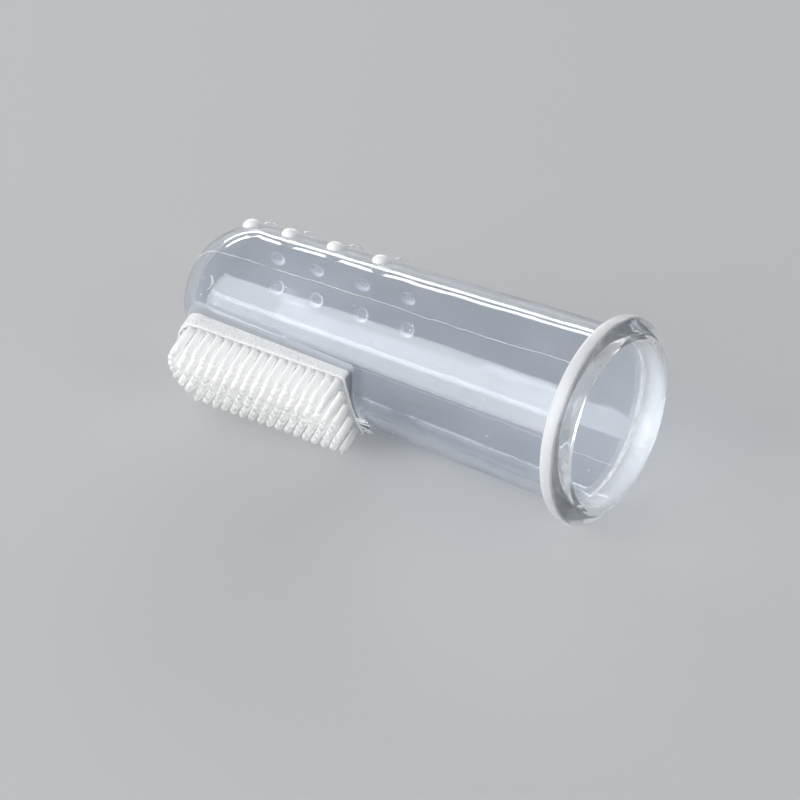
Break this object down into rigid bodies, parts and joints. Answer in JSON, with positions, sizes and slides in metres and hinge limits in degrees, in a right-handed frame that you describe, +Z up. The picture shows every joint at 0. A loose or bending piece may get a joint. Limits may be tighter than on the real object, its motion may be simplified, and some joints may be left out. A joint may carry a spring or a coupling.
{
  "type": "finger toothbrush",
  "caption": "Clear silicone finger toothbrush: a closed sleeve for a fingertip with a pad of soft bristles, massage nubs on its back and a thick rolled rim.",
  "frame": {"origin": "centre of the part's box, on the sleeve's length and just beside its axis", "axes": "+X along the sleeve from the closed tip to the open mouth, +Z up with the brush lying on its side, so the bristles point to -Y and a little down"},
  "size_m": [0.0536, 0.0242, 0.023],
  "materials": {
    "clear_silicone": "gloss",
    "milky_silicone": "gloss",
    "bristle_silicone": "satin"
  },
  "bodies": {
    "sleeve": {"dome": "clear_silicone", "sleeve_tube": "clear_silicone", "rim": "milky_silicone", "brush_pad": "milky_silicone", "nub_a1": "clear_silicone", "nub_a2": "clear_silicone", "nub_a3": "clear_silicone", "nub_a4": "clear_silicone", "nub_b1": "clear_silicone", "nub_b2": "clear_silicone", "nub_b3": "clear_silicone", "nub_b4": "clear_silicone", "nub_c1": "clear_silicone", "nub_c2": "clear_silicone", "nub_c3": "clear_silicone", "nub_c4": "clear_silicone", "nub_d1": "clear_silicone", "nub_d2": "clear_silicone", "nub_d3": "clear_silicone", "nub_d4": "clear_silicone", "seam_near": "clear_silicone", "seam_far": "clear_silicone", "gate_mark": "clear_silicone"},
    "row_1": {"bristle_row_1": "bristle_silicone"},
    "row_2": {"bristle_row_2": "bristle_silicone"},
    "row_3": {"bristle_row_3": "bristle_silicone"},
    "row_4": {"bristle_row_4": "bristle_silicone"},
    "row_5": {"bristle_row_5": "bristle_silicone"},
    "row_6": {"bristle_row_6": "bristle_silicone"},
    "row_7": {"bristle_row_7": "bristle_silicone"},
    "row_8": {"bristle_row_8": "bristle_silicone"},
    "row_9": {"bristle_row_9": "bristle_silicone"}
  },
  "joints": [
    {"name": "row_1_bend", "type": "hinge", "parent": "sleeve", "child": "row_1", "pos_m": [-0.01138, -0.00717, -0.0068], "axis": [1, 0, 0], "range_deg": [-20, 20], "stiffness_Nm_per_rad": 0.0005},
    {"name": "row_2_bend", "type": "hinge", "parent": "sleeve", "child": "row_2", "pos_m": [-0.01212, -0.0076, -0.00581], "axis": [1, 0, 0], "range_deg": [-20, 20], "stiffness_Nm_per_rad": 0.0005},
    {"name": "row_3_bend", "type": "hinge", "parent": "sleeve", "child": "row_3", "pos_m": [-0.0121, -0.008, -0.0048], "axis": [1, 0, 0], "range_deg": [-20, 20], "stiffness_Nm_per_rad": 0.0005},
    {"name": "row_4_bend", "type": "hinge", "parent": "sleeve", "child": "row_4", "pos_m": [-0.01255, -0.00836, -0.00378], "axis": [1, 0, 0], "range_deg": [-20, 20], "stiffness_Nm_per_rad": 0.0005},
    {"name": "row_5_bend", "type": "hinge", "parent": "sleeve", "child": "row_5", "pos_m": [-0.0123, -0.0087, -0.00275], "axis": [1, 0, 0], "range_deg": [-20, 20], "stiffness_Nm_per_rad": 0.0005},
    {"name": "row_6_bend", "type": "hinge", "parent": "sleeve", "child": "row_6", "pos_m": [-0.01255, -0.00898, -0.00171], "axis": [1, 0, 0], "range_deg": [-20, 20], "stiffness_Nm_per_rad": 0.0005},
    {"name": "row_7_bend", "type": "hinge", "parent": "sleeve", "child": "row_7", "pos_m": [-0.0121, -0.00922, -0.00065], "axis": [1, 0, 0], "range_deg": [-20, 20], "stiffness_Nm_per_rad": 0.0005},
    {"name": "row_8_bend", "type": "hinge", "parent": "sleeve", "child": "row_8", "pos_m": [-0.01212, -0.00944, 0.00041], "axis": [1, 0, 0], "range_deg": [-20, 20], "stiffness_Nm_per_rad": 0.0005},
    {"name": "row_9_bend", "type": "hinge", "parent": "sleeve", "child": "row_9", "pos_m": [-0.01138, -0.00962, 0.00148], "axis": [1, 0, 0], "range_deg": [-20, 20], "stiffness_Nm_per_rad": 0.0005}
  ],
  "couplings": [
    {"joint": "row_2_bend", "follows": "row_1_bend", "ratio": 1},
    {"joint": "row_3_bend", "follows": "row_1_bend", "ratio": 1},
    {"joint": "row_4_bend", "follows": "row_1_bend", "ratio": 1},
    {"joint": "row_5_bend", "follows": "row_1_bend", "ratio": 1},
    {"joint": "row_6_bend", "follows": "row_1_bend", "ratio": 1},
    {"joint": "row_7_bend", "follows": "row_1_bend", "ratio": 1},
    {"joint": "row_8_bend", "follows": "row_1_bend", "ratio": 1},
    {"joint": "row_9_bend", "follows": "row_1_bend", "ratio": 1}
  ]
}
